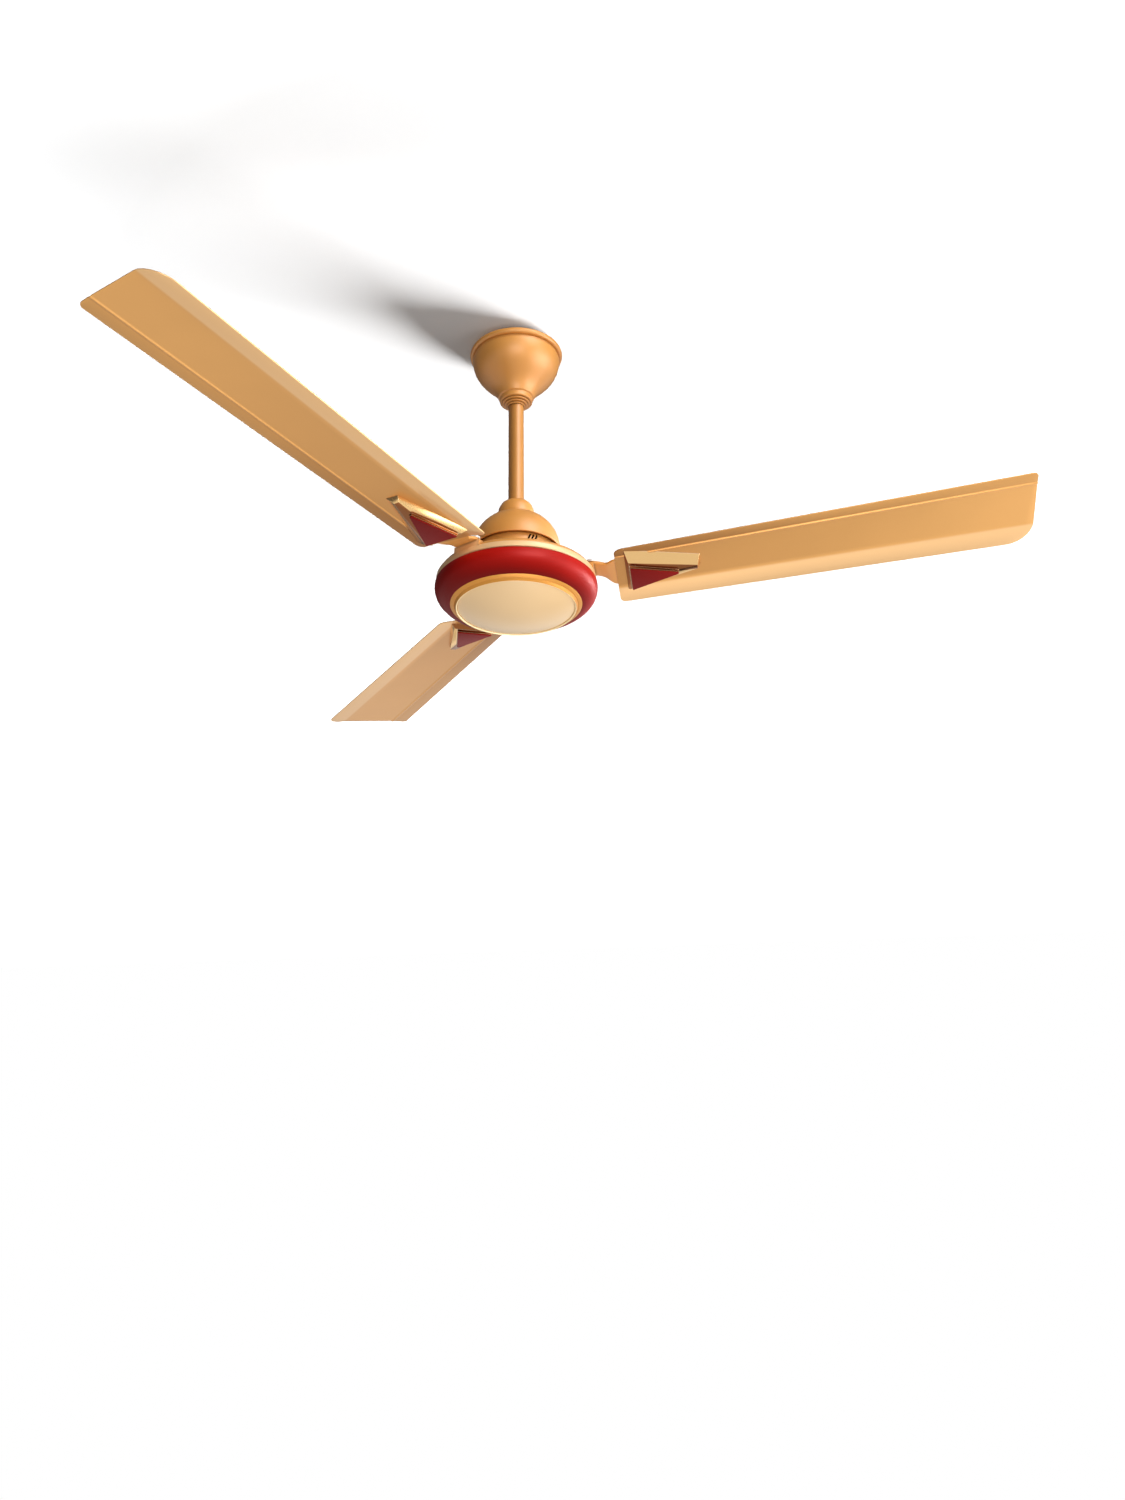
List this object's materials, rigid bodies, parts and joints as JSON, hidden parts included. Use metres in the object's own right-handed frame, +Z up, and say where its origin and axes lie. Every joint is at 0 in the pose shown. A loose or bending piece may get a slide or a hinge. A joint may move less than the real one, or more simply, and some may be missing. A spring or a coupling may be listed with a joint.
{
  "type": "ceiling fan",
  "caption": "Ceiling fan on a down rod: canopy and cup slide on the rod, and the outer motor case turns with its pitched, pressed blades",
  "frame": {"origin": "centre of the canopy's rim, in the plane of the ceiling", "axes": "+Z up along the down rod towards the ceiling, +X along blade 1, +Y to the left of blade 1 seen from above"},
  "size_m": [0.9519, 1.0854, 0.381],
  "materials": {
    "gold_cast": "gold-tan paint on cast aluminium",
    "gold_blade": "satin gold-tan paint on pressed aluminium sheet",
    "gold_steel": "gold-tan paint on steel",
    "gold_shell": "gold-tan gloss",
    "gilt": "bright gilt plating",
    "maroon_gloss": "deep maroon lacquer",
    "cream_cap": "cream satin gloss",
    "reel_rubber": "matt black rubber",
    "zinc_steel": "zinc-plated steel",
    "bright_screw": "bright plated",
    "bearing_steel": "ground steel",
    "lamination": "stacked electrical steel",
    "end_ring": "cast aluminium",
    "winding": "enamelled copper wire",
    "cage_plastic": "moulded bearing cage",
    "terminal_plastic": "white moulded block",
    "capacitor_case": "pale moulded case"
  },
  "bodies": {
    "hanger": {"hanger_reel": "reel_rubber"},
    "suspension": {"shackle": "zinc_steel", "reel_bolt": "zinc_steel", "rod_bolt": "zinc_steel", "coupler_bolt": "zinc_steel", "hanger_nuts": "zinc_steel", "split_pins": "zinc_steel", "down_rod": "gold_steel", "terminal_block": "terminal_plastic", "terminal_screws": "bright_screw", "shaft_coupler": "zinc_steel", "motor_shaft": "bearing_steel", "stator_core": "lamination", "stator_coils": "winding", "upper_inner_race": "bearing_steel", "lower_inner_race": "bearing_steel", "capacitor": "capacitor_case", "capacitor_clip": "zinc_steel", "clip_screw": "zinc_steel"},
    "canopy": {"top_canopy": "gold_shell", "canopy_screw": "bright_screw"},
    "cup": {"lower_cup": "gold_shell", "cup_screw": "bright_screw"},
    "rotor": {"top_cover": "gold_cast", "bottom_cover": "gold_cast", "cover_screws": "zinc_steel", "rotor_core": "lamination", "rotor_end_rings": "end_ring", "upper_outer_race": "bearing_steel", "lower_outer_race": "bearing_steel", "trim_ring": "maroon_gloss", "trim_ring_screws": "zinc_steel", "bezel_ring": "gilt", "bottom_cap": "cream_cap", "bracket_1": "gold_steel", "bracket_2": "gold_steel", "bracket_3": "gold_steel", "blade_1": "gold_blade", "blade_2": "gold_blade", "blade_3": "gold_blade", "blade_trim_1": "gilt", "blade_trim_2": "gilt", "blade_trim_3": "gilt", "trim_inlay_1": "maroon_gloss", "trim_inlay_2": "maroon_gloss", "trim_inlay_3": "maroon_gloss", "bracket_screws": "bright_screw", "bracket_washers": "bright_screw", "blade_screws": "bright_screw", "blade_nuts": "zinc_steel"},
    "upper_ball_set": {"upper_balls": "bearing_steel", "upper_ball_cage": "cage_plastic"},
    "lower_ball_set": {"lower_balls": "bearing_steel", "lower_ball_cage": "cage_plastic"}
  },
  "joints": [
    {"name": "hanger_swing", "type": "hinge", "parent": "hanger", "child": "suspension", "pos_m": [0, 0, -0.021], "axis": [1, 0, 0], "range_deg": [-4, 4]},
    {"name": "canopy_slide", "type": "slide", "parent": "suspension", "child": "canopy", "axis": [0, 0, -1], "range_m": [0, 0.06]},
    {"name": "cup_slide", "type": "slide", "parent": "suspension", "child": "cup", "axis": [0, 0, 1], "range_m": [0, 0.06]},
    {"name": "rotor_spin", "type": "hinge", "parent": "suspension", "child": "rotor", "pos_m": [0, 0, -0.334], "axis": [0, 0, 1], "continuous": true},
    {"name": "upper_cage_spin", "type": "hinge", "parent": "suspension", "child": "upper_ball_set", "pos_m": [0, 0, -0.2975], "axis": [0, 0, 1], "continuous": true},
    {"name": "lower_cage_spin", "type": "hinge", "parent": "suspension", "child": "lower_ball_set", "pos_m": [0, 0, -0.352], "axis": [0, 0, 1], "continuous": true}
  ],
  "couplings": [
    {"joint": "upper_cage_spin", "follows": "rotor_spin", "ratio": 0.62},
    {"joint": "lower_cage_spin", "follows": "rotor_spin", "ratio": 0.62}
  ]
}
